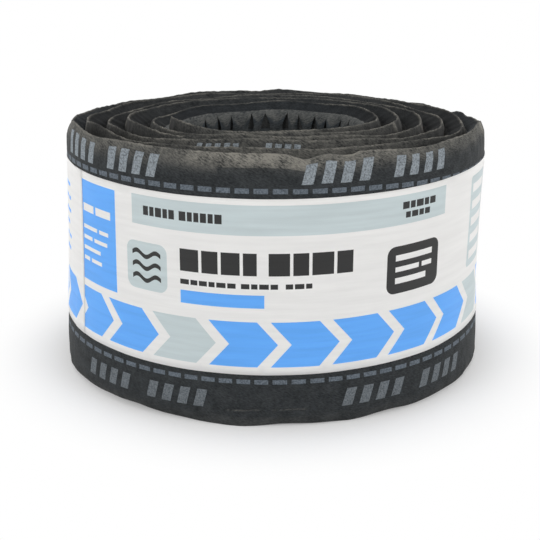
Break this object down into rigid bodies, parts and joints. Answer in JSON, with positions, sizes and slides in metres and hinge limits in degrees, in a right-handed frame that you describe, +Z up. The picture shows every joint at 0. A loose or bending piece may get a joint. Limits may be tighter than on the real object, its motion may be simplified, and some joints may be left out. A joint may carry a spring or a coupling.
{
  "type": "ridge vent roll",
  "caption": "Roll of black fabric-faced ridge vent mat standing on its end, wound in a spiral round an open bore and held by a white and blue printed band.",
  "frame": {"origin": "middle of the roll's box at the level it stands on", "axes": "+Z up along the axis of the winding, -Y the side seen in front, +Y the back, where the outer cut end of the mat is"},
  "size_m": [0.4564, 0.4674, 0.2667],
  "materials": {
    "vent_mat": "matte",
    "printed_band": "satin"
  },
  "bodies": {
    "root": {"vent_mat_roll": "vent_mat", "label_band": "printed_band"}
  },
  "joints": []
}
